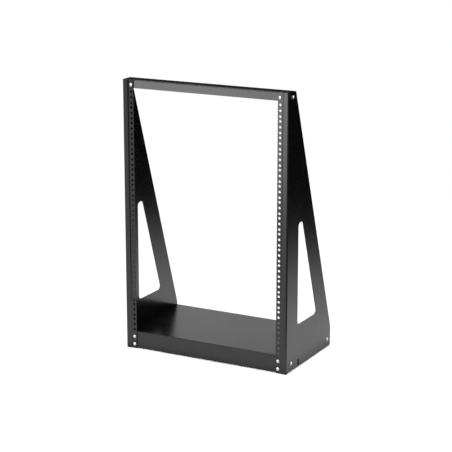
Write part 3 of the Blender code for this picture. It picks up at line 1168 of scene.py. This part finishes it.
@dataclass
class Studio:
    """White studio with a pale floor, softboxes and the camera.

    In reflections the floor shows a painted pool of light, whose level goes by the place along
    floor_direction, then by each fade along its own direction or, without one, by the distance
    outside the rack's footprint, where it is a painted contact shadow.
    """

    azimuth: float = math.radians(28.10)
    elevation: float = math.radians(14.30)
    distance: float = 4.25
    aim: tuple[float, float, float] = (0.0684, -0.1433, 0.4035)
    lens: float = 122.27
    sensor: float = 36.0
    floor_half: float = 25.0
    floor_drop: float = 0.2 * MM
    floor_paper: str = "#F4F4F4"
    floor_glow: float = 1.13
    shadow_share: float = 0.15
    footprint: tuple[float, float] = (0.2588, 0.1450)
    floor_span: tuple[float, float] = (-0.5, 2.5)
    floor_direction: tuple[float, float, float] = (0.36, 1.0, 0.0)
    # levels of the painted pool of light that reflections show on the floor
    floor_levels: tuple[tuple[float, float], ...] = (
        (-0.50, 1.12), (0.20, 1.12), (0.50, 1.10), (0.70, 0.89), (0.89, 0.74), (1.10, 0.53),
        (1.33, 0.29), (1.51, 0.15), (1.72, 0.05), (2.00, 0.01))
    floor_fades: tuple[Fade, ...] = (
        Fade(0.40, 0.75, 1.0, 0.2, direction=(1.0, -0.5, 0.0)),
        Fade(0.40, 0.85, 1.0, 0.2, direction=(-1.0, 0.62, 0.0)),
        # painted contact shadow in the floor's reflected glow, next to the rack's footprint
        Fade(0.0, 0.06, 0.6, 1.0))
    fill: float = 0.30
    horizon: Fade = Fade(0.0, 0.6, 0.55, 0.02)
    sky: Fade = Fade(0.48, 0.80, 0.0, 1.1)
    softboxes: tuple[Softbox, ...] = (
        Softbox("front softbox", (-0.55, -1.15, 0.62), (0.0, -0.15, 0.62), (1.2, 0.33), 3.6,
                ("left_side_panel", "base_tray")),
        Softbox("front middle", (-0.55, -1.15, 0.33), (0.0, -0.15, 0.33), (1.2, 0.25), 2.1,
                ("left_side_panel", "base_tray")),
        Softbox("front skirt", (-0.55, -1.15, 0.10), (0.0, -0.15, 0.10), (1.2, 0.20), 2.2,
                PANELS),
        Softbox("rear softbox", (-0.85, 1.05, 0.52), (0.0, 0.0, 0.4), (1.3, 0.62), 0.8),
        Softbox("top softbox", (0.2, -0.2, 2.6), (0.0, 0.0, 0.4), (1.4, 1.4), 1.5),
        Softbox("bar lamp", (-0.78, -1.15, 1.85), (0.0, -0.14, 0.79), (1.5, 0.45), 6.0,
                (*PANELS, "base_tray")),
        Softbox("front lamp", (-0.35, -1.30, 1.20), (0.0, -0.15, 0.45), (1.3, 0.8), 4.0,
                COATED_NODES),
        Softbox("side lamp", (1.30, 1.05, 0.80), (0.26, 0.0, 0.4), (1.4, 1.2), 4.0,
                COATED_NODES))

    def camera(self) -> None:
        """Place the camera at the photograph's viewing angle."""
        data = bpy.data.cameras.new("camera")
        data.lens = self.lens
        data.sensor_width = self.sensor
        camera = bpy.data.objects.new("camera", data)
        bpy.context.scene.collection.objects.link(camera)
        back = Vector((math.sin(self.azimuth) * math.cos(self.elevation),
                       -math.cos(self.azimuth) * math.cos(self.elevation),
                       math.sin(self.elevation)))
        camera.location = Vector(self.aim) + back * self.distance
        camera.rotation_euler = (-back).to_track_quat("-Z", "Y").to_euler()
        bpy.context.scene.camera = camera

    def floor_light(self, tree: Tree, place: Socket, clearance: Socket) -> Socket:
        """Work out the painted pool of light, with its painted contact shadow next to the rack,
        that the floor shows in reflections.

        Args:
            tree: The floor's node tree.
            place: The place on the floor.
            clearance: How far it is from the rack's outline.

        Returns:
            The floor's brightness, where 1 is white.
        """
        start, end = self.floor_span
        distance = add_node(tree, "ShaderNodeVectorMath",
                            {"operation": "DOT_PRODUCT", 1: self.floor_direction}, {0: place})
        depth = add_node(tree, "ShaderNodeMapRange", {"From Min": start, "From Max": end},
                         {"Value": distance.outputs["Value"]})
        ramp = add_node(tree, "ShaderNodeValToRGB", {}, {"Fac": depth.outputs["Result"]})
        stops = ramp.color_ramp.elements
        while len(stops) < len(self.floor_levels):
            stops.new(1.0)
        for stop, (where, level) in zip(stops, self.floor_levels):
            stop.position = (where - start) / (end - start)
            stop.color = (level, level, level, 1.0)
        light = ramp.outputs["Color"]
        for fade in self.floor_fades:
            along = clearance
            if fade.direction is not None:
                along = add_node(tree, "ShaderNodeVectorMath",
                                 {"operation": "DOT_PRODUCT", 1: fade.direction},
                                 {0: place}).outputs["Value"]
            light = add_node(tree, "ShaderNodeMath", {"operation": "MULTIPLY"},
                             {0: light, 1: fade.level(tree, along)}).outputs["Value"]
        return light

    def clearance(self, tree: Tree, place: Socket) -> Socket:
        """Work out how far a place on the floor is outside the rack's footprint.

        Args:
            tree: The floor's node tree.
            place: The place on the floor.

        Returns:
            The distance, negative inside.
        """
        parts = add_node(tree, "ShaderNodeSeparateXYZ", {}, {"Vector": place}).outputs
        gaps = {}
        for axis, half in enumerate(self.footprint):
            size = add_node(tree, "ShaderNodeMath", {"operation": "ABSOLUTE"}, {0: parts[axis]})
            gaps[axis] = add_node(tree, "ShaderNodeMath", {"operation": "SUBTRACT", 1: half},
                                  {0: size.outputs["Value"]}).outputs["Value"]
        return add_node(tree, "ShaderNodeMath", {"operation": "MAXIMUM"}, gaps).outputs["Value"]

    @staticmethod
    def mirrored(tree: Tree, ray: bpy.types.Node) -> Socket:
        """Tell the rays that show the surroundings in a gloss or through a clear piece.

        Args:
            tree: The node tree.
            ray: Its Light Path node.

        Returns:
            1 for such rays and 0 for the others.
        """
        return add_node(tree, "ShaderNodeMath", {"operation": "MAXIMUM"},
                        {0: ray.outputs["Is Glossy Ray"],
                         1: ray.outputs["Is Transmission Ray"]}).outputs["Value"]

    def floor_material(self) -> Material:
        """Build the matt white floor.

        Returns:
            A material that is white to the camera but keeps a faint shadow, that shows reflections
            a painted pool of light, brightest in front of the rack and with a painted contact
            shadow next to it, and that is plain paper in the dark under the rack.
        """
        material = empty_material("matt white floor")
        tree = material.node_tree
        ray = add_node(tree, "ShaderNodeLightPath")
        place = add_node(tree, "ShaderNodeTexCoord").outputs["Object"]
        clearance = self.clearance(tree, place)
        paper = add_node(tree, "ShaderNodeBsdfDiffuse", {"Color": linear_colour(self.floor_paper)})
        glow = add_node(tree, "ShaderNodeEmission", {"Strength": self.floor_glow})
        # painted pool of light and contact shadow, which only reflections see
        painted_floor_glow = add_node(tree, "ShaderNodeEmission", {},
                        {"Strength": self.floor_light(tree, place, clearance)})
        white = add_node(tree, "ShaderNodeMixShader", {"Fac": 1 - self.shadow_share},
                         {1: paper.outputs["BSDF"], 2: glow.outputs["Emission"]})
        under = add_node(tree, "ShaderNodeMath", {"operation": "LESS_THAN", 1: 0.0}, {0: clearance})
        shown = paper.outputs["BSDF"]
        for share, shader in ((ray.outputs["Is Camera Ray"], white.outputs["Shader"]),
                              (self.mirrored(tree, ray), painted_floor_glow.outputs["Emission"]),
                              (under.outputs["Value"], paper.outputs["BSDF"])):
            shown = add_node(tree, "ShaderNodeMixShader", {},
                             {0: share, 1: shown, 2: shader}).outputs["Shader"]
        add_node(tree, "ShaderNodeOutputMaterial", {}, {"Surface": shown})
        return material

    def floor(self) -> None:
        """Lay the floor just under the rack's feet."""
        bm = bmesh.new()
        bmesh.ops.create_grid(bm, x_segments=1, y_segments=1, size=self.floor_half,
                              matrix=Matrix.Translation((0, 0, -self.floor_drop)))
        floor = mesh_object("studio_floor", bm)
        floor.data.materials.append(self.floor_material())

    def surroundings(self) -> None:
        """White world to the camera; in reflections a bright sky with a dark corner behind."""
        world = bpy.data.worlds.new("studio")
        world.use_nodes = True
        tree = world.node_tree
        tree.nodes.clear()
        ray = add_node(tree, "ShaderNodeLightPath")
        place = add_node(tree, "ShaderNodeTexCoord").outputs["Generated"]
        parts = add_node(tree, "ShaderNodeSeparateXYZ", {}, {"Vector": place}).outputs
        walls = self.sky.level(tree, parts["Z"], first=self.horizon.level(tree, parts["Y"]))
        fill = add_node(tree, "ShaderNodeBackground", {"Color": WHITE, "Strength": self.fill})
        room = add_node(tree, "ShaderNodeBackground", {"Color": WHITE}, {"Strength": walls})
        white = add_node(tree, "ShaderNodeBackground", {"Color": WHITE, "Strength": 1.0})
        shown = fill.outputs["Background"]
        for share, light in ((self.mirrored(tree, ray), room),
                             (ray.outputs["Is Camera Ray"], white)):
            shown = add_node(tree, "ShaderNodeMixShader", {},
                             {0: share, 1: shown, 2: light.outputs["Background"]}).outputs["Shader"]
        add_node(tree, "ShaderNodeOutputWorld", {}, {"Surface": shown})
        bpy.context.scene.world = world

    def build(self) -> None:
        """Set up the floor, the surroundings, the lamps and the camera."""
        self.floor()
        self.surroundings()
        for softbox in self.softboxes:
            softbox.hang()
        self.camera()


def main() -> None:
    """Build and dress every piece, then the studio."""
    logging.basicConfig(level=logging.INFO, format="%(message)s")
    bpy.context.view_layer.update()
    bpy.context.scene.view_settings.view_transform = "Standard"
    rack = Rack(SheetSteel())
    coat = PowderCoat("black powder coat").material()
    # The left panel mirrors its surroundings a little more sharply than the rest
    left_coat = PowderCoat("black powder coat, left panel", roughness=0.20).material()
    zinc = ZincPlate("bright zinc plate").material()
    SidePanel(rack, Side.LEFT).dress(left_coat)
    SidePanel(rack, Side.RIGHT).dress(coat)
    FoldedLid(rack, "top_bar", (ScrewPlace.FRONT_TOP, ScrewPlace.SIDE_TOP)).dress(coat)
    BaseTray(rack, "base_tray", (ScrewPlace.FRONT_UPPER, ScrewPlace.FRONT_LOWER,
                                 ScrewPlace.SIDE_FRONT, ScrewPlace.SIDE_REAR)).dress(coat)
    Fasteners(rack, PanHeadScrew(), HexNut()).dress(zinc)
    Studio().build()


if __name__ == "__main__":
    main()
